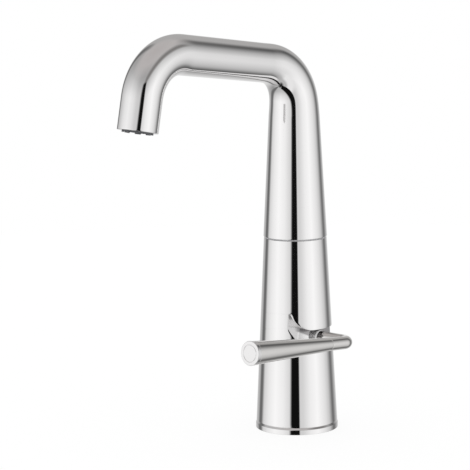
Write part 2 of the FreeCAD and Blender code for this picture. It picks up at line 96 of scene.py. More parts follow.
def eased(corners, easing, closed=True, steps=6):
    """An outline of corner points with each corner turned into a short curve.

    The curve is the quadratic that starts easing before the corner, aims at the corner and ends easing
    after it. Easing is cut to a share of the shorter side, and a guard point a little further out on each
    side keeps the straight stretches flat.
    """
    side_share = 0.4
    guard_reach = 1.2
    least_step = 1e-6
    corners = np.array(corners, float)
    easing = np.broadcast_to(np.array(easing, float), len(corners))
    before = np.roll(corners, 1, axis=0) - corners
    after = np.roll(corners, -1, axis=0) - corners
    before_length = np.linalg.norm(before, axis=1)
    after_length = np.linalg.norm(after, axis=1)
    cut = np.minimum(easing, side_share * np.minimum(before_length, after_length))
    if not closed:
        cut[[0, -1]] = 0.0
    reach = (cut[:, None], guard_reach * cut[:, None])
    start, start_guard = [corners + before / before_length[:, None] * length for length in reach]
    end, end_guard = [corners + after / after_length[:, None] * length for length in reach]
    along = np.linspace(0.0, 1.0, steps)[None, :, None]
    curve = (1 - along) ** 2 * start[:, None] + 2 * along * (1 - along) * corners[:, None]
    curve = curve + along ** 2 * end[:, None]
    outline = np.concatenate([start_guard[:, None], curve, end_guard[:, None]], axis=1).reshape(-1, 2)
    moved = np.linalg.norm(outline - np.roll(outline, 1, axis=0), axis=1) > least_step
    return outline[moved]


def turned(outline, segments=192):
    """A surface of revolution about +Z: each (radius, height) of the outline goes round a full circle."""
    angle = np.linspace(0.0, 2 * np.pi, segments, endpoint=False)
    radius = outline[:, :1]
    height = np.broadcast_to(outline[:, 1:], (len(outline), segments))
    return np.stack([radius * np.cos(angle), radius * np.sin(angle), height], axis=-1)


def linear(hex_colour):
    """An sRGB hex colour as linear RGBA, by the sRGB curve: a straight foot and then a power of 2.4."""
    srgb = np.array([int(hex_colour[place:place + 2], 16) for place in (1, 3, 5)]) / 255
    values = np.where(srgb <= 0.04045, srgb / 12.92, ((srgb + 0.055) / 1.055) ** 2.4)
    return (*values.tolist(), 1.0)


def add_node(tree, kind, settings=None, links=None):
    """One node, with settings for its inputs or properties and links from other sockets to its inputs.

    A colour mix is addressed by number: factor 0, colours 6 and 7, result 2.
    """
    node = tree.nodes.new(kind)
    for name, value in (settings or {}).items():
        if isinstance(name, int) or name in node.inputs:
            node.inputs[name].default_value = value
        else:
            setattr(node, name, value)
    for name, socket in (links or {}).items():
        tree.links.new(socket, node.inputs[name])
    return node


def new_finish(name):
    """An empty node material with its output, as (material, tree, output)."""
    material = bpy.data.materials.new(name)
    material.use_nodes = True
    material.node_tree.nodes.clear()
    output = add_node(material.node_tree, "ShaderNodeOutputMaterial")
    return material, material.node_tree, output


# A surface that is only slightly dull already has all of the extra roughness.
slight_dull = 0.15
dull_roughness = 0.16


def plated_finish(name, pale, deep, gloss, cloud_size, ripple_size, ripple_depth, stretch=(1.0, 1.0, 1.0),
                  dull_and_shade="#FFFFFF"):
    """A worked metal surface: cloudy tone, cloudy gloss and a faint ripple left by the polishing mop.

    pale and deep are the two tones, gloss the lowest and highest roughness, and sizes are in millimetres.
    stretch squeezes the ripple into a grain along one axis. The last argument is the tone of dull corners
    with painted shade in them, which the mesh's own attribute of that name marks from 0 to 1.
    """
    material, tree, output = new_finish(name)
    place = add_node(tree, "ShaderNodeTexCoord").outputs["Object"]
    cloud = add_node(tree, "ShaderNodeTexNoise", {"Scale": METRE / cloud_size, "Detail": 3.0},
                     {"Vector": place})
    tone = add_node(tree, "ShaderNodeMix", {"data_type": "RGBA", 6: linear(deep), 7: linear(pale)},
                    {0: cloud.outputs["Fac"]})
    # Where the mesh's attribute marks it, the tone turns to the grey of dull metal with painted shade.
    dull_and_shaded_corner = add_node(tree, "ShaderNodeAttribute", {"attribute_name": "dull_and_shade"})
    tone = add_node(tree, "ShaderNodeMix", {"data_type": "RGBA", 7: linear(dull_and_shade)},
                    {0: dull_and_shaded_corner.outputs["Fac"], 6: tone.outputs[2]})
    shine = add_node(tree, "ShaderNodeMapRange", {"To Min": gloss[0], "To Max": gloss[1]},
                     {"Value": cloud.outputs["Fac"]})
    softer = add_node(tree, "ShaderNodeMapRange", {"From Max": slight_dull, "To Max": dull_roughness},
                      {"Value": dull_and_shaded_corner.outputs["Fac"]})
    shine = add_node(tree, "ShaderNodeMath", {"operation": "ADD"},
                     {0: shine.outputs[0], 1: softer.outputs[0]})
    drawn = add_node(tree, "ShaderNodeMapping", {"Scale": stretch}, {"Vector": place})
    ripple = add_node(tree, "ShaderNodeTexNoise", {"Scale": METRE / ripple_size, "Detail": 2.0},
                      {"Vector": drawn.outputs["Vector"]})
    bump = add_node(tree, "ShaderNodeBump", {"Strength": 1.0, "Distance": ripple_depth * MILLIMETRE},
                    {"Height": ripple.outputs["Fac"]})
    shader = add_node(tree, "ShaderNodeBsdfPrincipled", {"Metallic": 1.0},
                      {"Base Color": tone.outputs[2], "Roughness": shine.outputs[0],
                       "Normal": bump.outputs["Normal"]})
    tree.links.new(shader.outputs["BSDF"], output.inputs["Surface"])
    return material


# Polished chrome plate: a neutral mirror that takes its tones from the room, with a trace of haze from
# wiping. Corners that the mop can't reach are rougher, with painted grey shade in them.
chrome_plate = plated_finish("polished_chrome_plate", "#FAF9F9", "#F5F4F4", (0.02, 0.045), 40.0, 14.0, 0.0010,
                             dull_and_shade="#A4A2A3")


def dress(piece, body, slot, material, *nodes):
    """Give a piece its material and body, and hide the CAD nodes that it stands for. slot is not used."""
    piece.data.materials.append(material)
    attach(piece, body)
    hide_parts(*nodes)


base_ring_outline = eased([
    (base_radius, 0.0),
    (base_radius, base_ring_height - base_ring_bevel),
    (base_radius - base_ring_bevel_inset, base_ring_height),
    (base_ring_bore, base_ring_height),
    (base_ring_bore, 0.0),
    (seal_groove_inner, 0.0),
    (seal_groove_inner, seal_groove_depth),
    (seal_groove_outer, seal_groove_depth),
    (seal_groove_outer, 0.0),
], turned_edge)
base_ring = surface("base_ring_turned", turned(base_ring_outline), ring=True)
dress(base_ring, "body", "chrome", chrome_plate, "base_ring")

# Column
# A brass casting, turned to a long even taper, milled flat on one side for the lever, then polished and
# chrome plated. It stands on the base ring, and its top is bored for the spigot that the spout turns on.
column_foot_radius = 25.6
column_seam_radius = 19.68
seam_height = 121.5
column_top = 121.15
column_foot_bevel = 0.4
lower_cavity_radius = 17.5
lower_cavity_top = 41.5
manifold_top = 14.0
spigot_socket_radius = 9.02
spigot_socket_bottom = 93.15
lever_height = 59.7
recess_floor = 11.0
recess_ceiling = lever_height + 5.6
recess_corner_radius = 10.5
recess_front = 18.0
recess_arc_radius = 20.0
recess_arc_centre = lever_height + 11.0
recess_dome_radius = 15.2
recess_edge = 0.12
recess_blend = 0.3
least_cosine = 0.05
least_dome = 1.0
stem_slot_half = 3.0
stem_slot_side = 9.8
stem_slot_depth = 9.6


def column_radius(height):
    """Outer radius of the column: it falls evenly from the foot to the seam."""
    share = (height - base_ring_height) / (seam_height - base_ring_height)
    return column_foot_radius + (column_seam_radius - column_foot_radius) * share


def ceiling_height(across):
    """Upper edge of the recess over y: level, then a quarter circle up to the horn at the front."""
    from_centre = np.clip(across + recess_front - recess_corner_radius, -recess_corner_radius, 0.0)
    drop = recess_corner_radius - np.sqrt(recess_corner_radius ** 2 - from_centre ** 2)
    return recess_ceiling + drop


def ledge_height(across):
    """Lower edge of the recess over y: level at the back, then a wide arc that climbs at the front."""
    from_centre = np.clip(across, -recess_arc_radius, 0.0)
    return recess_arc_centre - np.sqrt(recess_arc_radius ** 2 - from_centre ** 2)


def lesser(first, second, blend):
    """The smaller of two values, blended smoothly where they are about equal."""
    return 0.5 * (first + second - np.sqrt((first - second) ** 2 + blend ** 2))


def recess_radius(angle, height):
    """Distance from the axis to the recess's back: the flat floor or the low dome, whichever stands out."""
    outside = column_radius(height)
    floor = recess_floor / np.maximum(np.cos(angle), least_cosine)
    dome = np.sqrt(np.maximum(recess_dome_radius ** 2 - (height - lever_height) ** 2, least_dome ** 2))
    back = -lesser(-floor, -dome, recess_blend)
    side = np.sin(angle) * recess_dome_radius
    at_level = np.abs(height - lever_height) < stem_slot_half
    slot = at_level & (side > -stem_slot_half) & (side < stem_slot_side)
    back = np.where(slot & (np.cos(angle) > 0), stem_slot_depth, back)
    return lesser(outside, back, recess_edge)


def column_grid():
    """The column as a profile that changes with the angle round it.

    Going up: cavity, foot, cone, the recess's lower lip, its ledge, its back, its ceiling, its upper lip,
    cone, top face and the spigot's bore. Where there is no recess, these rows simply lie on the cone.
    Columns lie close together at the recess and grow wider round the back.
    """
    front_columns = 201
    rear_columns = 40
    narrowest = 0.12
    widest = 2.2
    lip_steps = 6
    low_steps = 36
    ledge_steps = 24
    back_steps = 64
    high_steps = 40
    least_lip = 0.05
    rear_rise = 0.3
    foot_clearance = 0.05
    foot_edge = 0.12
    foot_step = 0.3
    top_bevel = 0.3
    top_step = 0.4

    edge_angle = math.acos(recess_floor / column_radius(recess_ceiling))
    front = edge_angle * np.sin(np.linspace(-0.5, 0.5, front_columns) * np.pi)
    growth = np.cumsum(np.linspace(narrowest, widest, rear_columns))
    half = growth / growth[-1] * (np.pi - edge_angle)
    rear = np.concatenate([edge_angle + half, (2 * np.pi - edge_angle - half[:-1])[::-1]])
    angle = np.concatenate([front, rear])[None, :]
    in_front = np.concatenate([np.ones(len(front)), np.zeros(len(rear))])[None, :] > 0
    round_back = np.clip((angle - edge_angle) / (2 * np.pi - 2 * edge_angle), 0.0, 1.0)
    round_back = 0.5 - 0.5 * np.cos(np.pi * round_back)

    def edge_on_cone(height_at):
        """Height at which the recess's outline leaves the cone, found by repeating y = radius sin(angle)."""
        rounds = 12
        height = np.full_like(angle, lever_height)
        for _ in range(rounds):
            height = height_at(column_radius(height) * np.sin(angle))
        first = height[:, :1]
        last = height[:, len(front) - 1:len(front)]
        return np.where(in_front, height, last + (first - last) * round_back)

    lower = edge_on_cone(ledge_height)
    upper = edge_on_cone(ceiling_height)
    floor_across = recess_floor * np.tan(np.clip(angle, -edge_angle, edge_angle))
    lower_back = np.where(in_front, ledge_height(floor_across), lower)
    upper_back = np.where(in_front, ceiling_height(floor_across), upper)
    depth = column_radius(lower) * np.cos(angle) - recess_floor
    lip = recess_edge * np.where(in_front, np.minimum(1.0, depth.clip(least_lip)), least_lip)

    def share(count):
        """Even shares from 0 to 1, one to a row."""
        return np.linspace(0.0, 1.0, count)[:, None]

    def lay(radius, height):
        """Rows of (radius, height), with both spread to the same shape."""
        radius, height = np.broadcast_arrays(radius, height)
        return np.stack([radius, height], axis=-1)

    quarter = share(lip_steps) * np.pi / 2
    foot_bore = base_ring_bore + foot_clearance
    foot = eased([(lower_cavity_radius, lower_cavity_top), (lower_cavity_radius, manifold_top),
                  (foot_bore, manifold_top), (foot_bore, base_ring_height),
                  (column_foot_radius - column_foot_bevel, base_ring_height),
                  (column_foot_radius, base_ring_height + column_foot_bevel)], foot_edge, closed=False)
    foot_rows = lay(foot[:, :1] + 0 * angle, foot[:, 1:])
    first_height = base_ring_height + column_foot_bevel + foot_step
    low_height = first_height + (lower - lip - first_height) * share(low_steps)
    low_rows = lay(column_radius(low_height), low_height)
    low_lip = lay(column_radius(lower) - lip * (1 - np.cos(quarter)), lower - lip * (1 - np.sin(quarter)))
    ledge_radius = column_radius(lower) - lip
    inwards = ledge_radius + (recess_radius(angle, lower_back) - ledge_radius) * share(ledge_steps)
    ledge_rows = lay(inwards, np.where(in_front, ledge_height(inwards * np.sin(angle)),
                                       lower + rear_rise * share(ledge_steps)))
    back_height = lower_back + (upper_back - lower_back) * share(back_steps)
    back_rows = lay(np.where(in_front, recess_radius(angle, back_height), column_radius(back_height)),
                    back_height)
    ceiling_radius = column_radius(upper) - lip
    roof_radius = recess_radius(angle, upper_back)
    outwards = roof_radius + (ceiling_radius - roof_radius) * share(ledge_steps)
    ceiling_rows = lay(outwards, np.where(in_front, ceiling_height(outwards * np.sin(angle)),
                                          upper - rear_rise + rear_rise * share(ledge_steps)))
    high_lip = lay(column_radius(upper) - lip * (1 - np.sin(quarter)), upper + lip * (1 - np.cos(quarter)))
    last_height = column_top - top_step
    high_height = upper + lip + (last_height - upper - lip) * share(high_steps)
    high_rows = lay(column_radius(high_height), high_height)
    top = eased([(column_radius(column_top - top_bevel), column_top - top_bevel),
                 (column_radius(column_top), column_top), (spigot_socket_radius, column_top),
                 (spigot_socket_radius, spigot_socket_bottom)], turned_edge, closed=False)
    top_rows = lay(top[:, :1] + 0 * angle, top[:, 1:])
    rows = np.concatenate([foot_rows, low_rows, low_lip[1:], ledge_rows[1:], back_rows[1:], ceiling_rows[1:],
                           high_lip[1:], high_rows[1:], top_rows])
    radius, height = rows[..., 0], rows[..., 1]
    return np.stack([radius * np.cos(angle), radius * np.sin(angle), height], axis=-1)


def unpolished_and_shaded(points):
    """How dull and shaded each column point is: 0 on the cone, slight in the recess, up to 1 under its roof.

    The dull corner, with painted shade under the roof, reaches further down towards the back, by an even
    growth over y, and fades out evenly towards the horn. The recess is where points lie deeper than the cone.
    """
    least_depth = 0.1
    depth_fade = 0.2
    front_reach = 2.4
    reach_growth = 0.48
    growth_start = -9.5
    growth_length = 12.0
    reach_fade = 0.5
    horn_start = -14.0
    horn_fade = 4.0
    lowest = 40.0
    highest = 90.0
    outwards, across, height = points.T
    depth = column_radius(height) - np.hypot(outwards, across)
    inside = np.clip((depth - least_depth) / depth_fade, 0.0, 1.0)
    # Under the recess's roof the corner share paints shade as well as dullness.
    reach = front_reach + reach_growth * np.clip(across - growth_start, 0.0, growth_length)
    below = ceiling_height(across) - height
    dull_and_shaded_corner = np.clip(reach + reach_fade - below, 0.0, 1.0)
    dull_and_shaded_corner = dull_and_shaded_corner * np.clip((across - horn_start) / horn_fade, 0.0, 1.0)
    near = (outwards > 0) & (height > lowest) & (height < highest)
    return near * inside * (slight_dull + (1 - slight_dull) * dull_and_shaded_corner)


column = surface("column_cast", column_grid(), close_start=True, close_end=True)
column_points = np.empty(3 * len(column.data.vertices), np.float32)
column.data.vertices.foreach_get("co", column_points)
# The column's dull share, kept in a point attribute, also paints shade under the recess's roof.
column_dull_and_shade = column.data.attributes.new("dull_and_shade", "FLOAT", "POINT")
column_dull_and_shade.data.foreach_set("value", unpolished_and_shaded(column_points.reshape(-1, 3) / MILLIMETRE))
dress(column, "body", "chrome", chrome_plate, "column")

# Inside the column
# The inlet manifold, two copper tubes, ball valve and swivel that make the tap work. They are brass,
# copper, steel, rubber and plastic, pushed or screwed into the casting, and mostly hidden in it.

# Brass is warm yellow with a lathe's sheen, copper is reddish with its grain along the tube, ground steel is
# cool and softly bright, and stamped steel is duller.
turned_brass = plated_finish("turned_brass", "#D9B56A", "#C09A50", (0.22, 0.34), 18.0, 0.8, 0.004)
drawn_copper = plated_finish("drawn_copper_tube", "#C98A66", "#A96C4B", (0.24, 0.4), 12.0, 0.9, 0.004,
                             (1.0, 1.0, 0.05))
stainless_steel = plated_finish("ground_stainless_steel", "#C6C7C8", "#AFB1B4", (0.16, 0.28), 10.0, 0.5,
                                0.003)
aerator_steel = plated_finish("stamped_aerator_steel", "#BFC1C4", "#9DA0A4", (0.2, 0.36), 5.0, 0.6, 0.004)


def moulded_finish(name, pale, deep, gloss, grain_size, grain_depth):
    """A moulded surface: two close tones in soft clouds and a fine even grain from the mould."""
    cloud_size = 12 * grain_size
    material, tree, output = new_finish(name)
    place = add_node(tree, "ShaderNodeTexCoord").outputs["Object"]
    cloud = add_node(tree, "ShaderNodeTexNoise", {"Scale": METRE / cloud_size, "Detail": 2.0},
                     {"Vector": place})
    tone = add_node(tree, "ShaderNodeMix", {"data_type": "RGBA", 6: linear(deep), 7: linear(pale)},
                    {0: cloud.outputs["Fac"]})
    grain = add_node(tree, "ShaderNodeTexNoise", {"Scale": METRE / grain_size, "Detail": 1.0},
                     {"Vector": place})
    shine = add_node(tree, "ShaderNodeMapRange", {"To Min": gloss[0], "To Max": gloss[1]},
                     {"Value": cloud.outputs["Fac"]})
    bump = add_node(tree, "ShaderNodeBump", {"Strength": 1.0, "Distance": grain_depth * MILLIMETRE},
                    {"Height": grain.outputs["Fac"]})
    shader = add_node(tree, "ShaderNodeBsdfPrincipled", {},
                      {"Base Color": tone.outputs[2], "Roughness": shine.outputs["Result"],
                       "Normal": bump.outputs["Normal"]})
    tree.links.new(shader.outputs["BSDF"], output.inputs["Surface"])
    return material


# EPDM rubber: soft black with a dry, slightly dusty skin. Acetal: ivory and waxy. ABS: even, pale or dark
# grey.
epdm_rubber = moulded_finish("moulded_epdm_rubber", "#2A2A2B", "#1D1D1E", (0.55, 0.75), 0.6, 0.01)
acetal_plastic = moulded_finish("moulded_acetal", "#E2DFD6", "#D4D0C5", (0.3, 0.42), 0.5, 0.004)
dark_plastic = moulded_finish("moulded_dark_abs", "#626366", "#545558", (0.35, 0.5), 0.5, 0.006)
grey_plastic = moulded_finish("moulded_grey_abs", "#C6C6C8", "#BABABC", (0.3, 0.42), 0.5, 0.004)


def dress_node(node, finish):
    """Give a CAD node a finish in place of its plain one."""
    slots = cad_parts[node].data.materials
    slots.clear()
    slots.append(finish)


for node in ("inlet_manifold", "swivel_spigot"):
    dress_node(node, turned_brass)
for node in ("cold_tube", "hot_tube"):
    dress_node(node, drawn_copper)
for node in ("base_seal", "carrier_gasket", "inlet_seats", "spigot_orings"):
    dress_node(node, epdm_rubber)
for node in ("seat_carrier", "ball_cam", "swivel_bush"):
    dress_node(node, acetal_plastic)
for node in ("valve_ball", "retaining_clip"):
    dress_node(node, stainless_steel)

# Rear plug
# A chromed brass plug, screwed into the back of the column to shut the valve's bore and dressed flush with
# the taper. Only its fine round joint shows.
plug_radius = 12.55
plug_proud = 0.03
plug_edge = 0.12
plug_depth = 2.0


def rear_plug_grid():
    """Rings about the valve's axis, each point pushed back to the cone's surface, with an eased rim."""
    middle_radius = 0.4
    face_rings = 40
    rim_rings = 6
    rim_start = -0.3
    segments = 128
    rim = np.linspace(rim_start, 1, rim_rings) * np.pi / 2
    ring = np.concatenate([np.linspace(middle_radius, plug_radius - 2 * plug_edge, face_rings),
                           plug_radius - plug_edge + plug_edge * np.sin(rim)])
    sunk = np.concatenate([np.zeros(face_rings), plug_edge * (1 - np.cos(rim))])
    turn = np.linspace(0.0, 2 * np.pi, segments, endpoint=False)[None, :]
    across = ring[:, None] * np.cos(turn)
    height = lever_height + ring[:, None] * np.sin(turn)
    back = -np.sqrt(column_radius(height) ** 2 - across ** 2)
    face = np.stack([back - plug_proud + sunk[:, None], across, height], axis=-1)
    root = face[-1:] + np.array([plug_depth, 0.0, 0.0])
    return np.concatenate([face, root])[::-1]


rear_plug = surface("rear_plug_screwed", rear_plug_grid(), close_start=True, close_end=True)
dress(rear_plug, "body", "chrome", chrome_plate, "rear_plug")

# Swing guide
# A small chromed hub at the lever's root. It slides over the dome on the recess's floor and keeps the stem
# level while the lever swings.
guide_radius = 4.8
guide_end = 20.2
guide_edge_radius = 1.0
guide_inner_sphere = 15.5
stem_hole_radius = 2.55
fine_edge = 0.1


def along_x(outline, segments=96):
    """An outline of (radius, x) turned about the level axis through the valve's centre."""
    upright = turned(outline, segments)
    return np.stack([upright[..., 2], upright[..., 0], upright[..., 1] + lever_height], axis=-1)


guide_root = math.sqrt(guide_inner_sphere ** 2 - guide_radius ** 2)
guide_hole_root = math.sqrt(guide_inner_sphere ** 2 - stem_hole_radius ** 2)
guide_outline = eased([(guide_radius, guide_root), (guide_radius, guide_end), (stem_hole_radius, guide_end),
                       (stem_hole_radius, guide_hole_root)],
                      [fine_edge, guide_edge_radius, fine_edge, fine_edge])
# Turned chrome: plated over fine tool marks, so that it mirrors the recess only as soft greys.
turned_chrome = plated_finish("turned_chrome_plate", "#F4F3F3", "#ECEBEB", (0.55, 0.65), 6.0, 0.4, 0.002)
swing_guide = surface("swing_guide_hub", along_x(guide_outline), ring=True)
dress(swing_guide, "guide", "chrome", turned_chrome, "swing_guide")

# Lever elbow
# A bent chromed brass rod: a level leg out of the recess, a tight bend and a short arm. It is pushed on the
# valve's stem and clamped by a small set screw from below.
leg_radius = 4.0
leg_start = 20.5
lever_reach = 44.4
elbow_radius = 6.0
elbow_arm = 19.9
lever_slope = math.radians(4.6)
lever_edge = 0.3
screw_hole_place = leg_start + 5.5
screw_hole_radius = 1.52
# Satin chrome plate: as bright as the rest, with a fine polish that softens what it mirrors.
satin_chrome = plated_finish("satin_chrome_plate", "#F7F5F3", "#F0EEEC", (0.04, 0.06), 20.0, 0.9, 0.0006,
                             (1.0, 0.12, 1.0))
lever_corner = np.array([lever_reach, 0.0, lever_height])
leg_direction = np.array([1.0, 0.0, 0.0])
bar_direction = np.array([0.0, -math.cos(lever_slope), math.sin(lever_slope)])
bar_up = np.cross(leg_direction, bar_direction)


def carried(centre, forward, across, radius, segments=96):
    """A circle carried along a path.

    Each ring is centre + radius (cos t across + sin t side), with side = forward x across.
    """
    turn = np.linspace(0.0, 2 * np.pi, segments, endpoint=False)[None, :, None]
    side = np.cross(forward, across)
    spoke = np.cos(turn) * across[:, None] + np.sin(turn) * side[:, None]
    return centre[:, None] + radius[:, None, None] * spoke


def elbow_grid():
    """Leg, quarter bend and arm, with both ends closed by an eased edge."""
    edge_rings = 6
    leg_rings = 24
    bend_rings = 33
    arm_rings = 16
    quarter = np.linspace(0.0, np.pi / 2, edge_rings)
    ease_in = lever_edge * (1 - np.sin(quarter))
    leg_x = np.concatenate([leg_start + lever_edge * (1 - np.cos(quarter)),
                            np.linspace(leg_start + 2 * lever_edge, lever_reach - elbow_radius, leg_rings)])
    leg_size = np.concatenate([leg_radius - ease_in, np.full(leg_rings, leg_radius)])
    leg = lever_corner + leg_direction * (leg_x - lever_reach)[:, None]
    turn = np.linspace(0.0, np.pi / 2, bend_rings)[1:-1, None]
    bend_centre = lever_corner + elbow_radius * (bar_direction - leg_direction)
    bend = bend_centre + elbow_radius * (leg_direction * np.sin(turn) - bar_direction * np.cos(turn))
    bend_forward = leg_direction * np.cos(turn) + bar_direction * np.sin(turn)
    arm_distance = np.concatenate([np.linspace(elbow_radius, elbow_arm - 2 * lever_edge, arm_rings),
                                   elbow_arm - lever_edge * (1 - np.cos(quarter[::-1]))])
    arm_size = np.concatenate([np.full(arm_rings, leg_radius), leg_radius - ease_in[::-1]])
    arm = lever_corner + bar_direction * arm_distance[:, None]
    centre = np.concatenate([leg, bend, arm])
    forward = np.concatenate([np.tile(leg_direction, (len(leg), 1)), bend_forward,
                              np.tile(bar_direction, (len(arm), 1))])
    radius = np.concatenate([leg_size, np.full(len(bend), leg_radius), arm_size])
    return carried(centre, forward, np.tile(bar_up, (len(centre), 1)), radius)


lever_elbow = surface("lever_elbow_bent", elbow_grid(), close_start=True, close_end=True)
drill_outline = np.array([(screw_hole_radius, 0.0), (screw_hole_radius, lever_height)])
drill_points = turned(drill_outline, segments=48) + np.array([screw_hole_place, 0.0, 0.0])
screw_drill = surface("screw_drill", drill_points, close_start=True, close_end=True)
drilling = lever_elbow.modifiers.new("screw_hole", "BOOLEAN")
drilling.operation = "DIFFERENCE"
drilling.object = screw_drill
depsgraph = bpy.context.evaluated_depsgraph_get()
drilled_elbow = bpy.data.meshes.new_from_object(lever_elbow.evaluated_get(depsgraph))
drilled_elbow.set_sharp_from_angle(angle=math.radians(sharp_angle))
lever_elbow.modifiers.clear()
lever_elbow.data = drilled_elbow
bpy.data.objects.remove(screw_drill)
dress(lever_elbow, "lever", "satin_chrome", satin_chrome, "lever_elbow")
dress_node("lever_set_screw", stainless_steel)

# Lever bar
# A turned brass bar that grows towards its free end, with the elbow's satin chrome plate. It is pressed on a
# dowel of the elbow, so that only a fine joint line shows.
bar_length = 90.1
bar_end_radius = 7.3
cap_thickness = 2.5
face_middle = 0.5


def bar_radius(distance):
    """Radius of the bar at a distance from the elbow's corner: an even taper."""
    share = (distance - elbow_arm) / (bar_length - elbow_arm)
    return leg_radius + (bar_end_radius - leg_radius) * share


def on_bar(outline, segments=96):
    """An outline of (radius, distance) turned about the bar's axis."""
    centre = lever_corner + bar_direction * outline[:, 1:]
    count = (len(outline), 1)
    return carried(centre, np.tile(bar_direction, count), np.tile(bar_up, count), outline[:, 0], segments)


bar_body_end = bar_length - cap_thickness
bar_outline = eased([
    (face_middle, elbow_arm),
    (bar_radius(elbow_arm), elbow_arm),
    (bar_radius(bar_body_end), bar_body_end),
    (face_middle, bar_body_end),
], lever_edge, closed=False)
lever_bar = surface("lever_bar_turned", on_bar(bar_outline), close_start=True, close_end=True)
dress(lever_bar, "lever", "satin_chrome", satin_chrome, "lever_bar")

# Lever end cap
# A bright chromed brass disc that closes the bar's free end. It is turned with a fine ring line and pushed in
# by a dowel.
cap_bevel = 0.2
cap_ring_radius = 4.8
cap_ring_width = 0.5
cap_ring_depth = 0.3
cap_outline = eased([
    (face_middle, bar_body_end),
    (bar_radius(bar_body_end), bar_body_end),
    (bar_radius(bar_length - cap_bevel), bar_length - cap_bevel),
    (bar_end_radius - cap_bevel, bar_length),
    (cap_ring_radius + cap_ring_width, bar_length),
    (cap_ring_radius + cap_ring_width, bar_length - cap_ring_depth),
    (cap_ring_radius, bar_length - cap_ring_depth),
    (cap_ring_radius, bar_length),
    (face_middle, bar_length),
], fine_edge, closed=False)
lever_end_cap = surface("lever_end_cap_turned", on_bar(cap_outline), close_start=True, close_end=True)
dress(lever_end_cap, "lever", "chrome", chrome_plate, "lever_end_cap")
# As in the photo, the lever and its root leave no mirror image in the column.
for unmirrored in (swing_guide, lever_elbow, lever_bar, lever_end_cap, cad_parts["valve_ball"],
                   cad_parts["lever_set_screw"]):
    unmirrored.visible_glossy = False

# Glide ring
# A thin ring of pale grey plastic in the seam, on which the spout turns. It lies a little back from the
# chrome and shows as a fine grey line.
glide_outer = 19.20
glide_inner = 9.05
glide_top = column_top + 0.7
glide_outline = eased([(glide_outer, column_top), (glide_outer, glide_top),
                       (glide_inner, glide_top), (glide_inner, column_top)], fine_edge)
glide_ring = surface("glide_ring_moulded", turned(glide_outline), ring=True)
dress(glide_ring, "body", "grey_plastic", grey_plastic, "glide_ring")

# Spout
# A chromed brass tube: a tapered foot that carries on the column's line, a bend that thins as it turns, a
# slightly rising arm, a second bend and a short outlet. It drops over the spigot and a clip holds it.
spout_bottom = 121.90
spout_foot_radius = 19.91
spout_foot_drop = 0.03
bend_start_radius = 15.85
arm_start_radius = 12.05
arm_end_radius = 12.1
arm_axis_height = 228.3
arm_slope = math.radians(6.85)
spout_reach = 124.9
rear_bend_reach = 30.5
rear_bend_easing = 0.25
taper_settling = 0.15
front_bend_reach = 29.2
front_bend_easing = 0.1
outlet_tilt = math.radians(11.6)
outlet_height = 197.8
aerator_bore = 9.22
aerator_depth = 13.0
bush_bore = 13.0
bush_bore_top = 160.15
spout_edge = 0.4


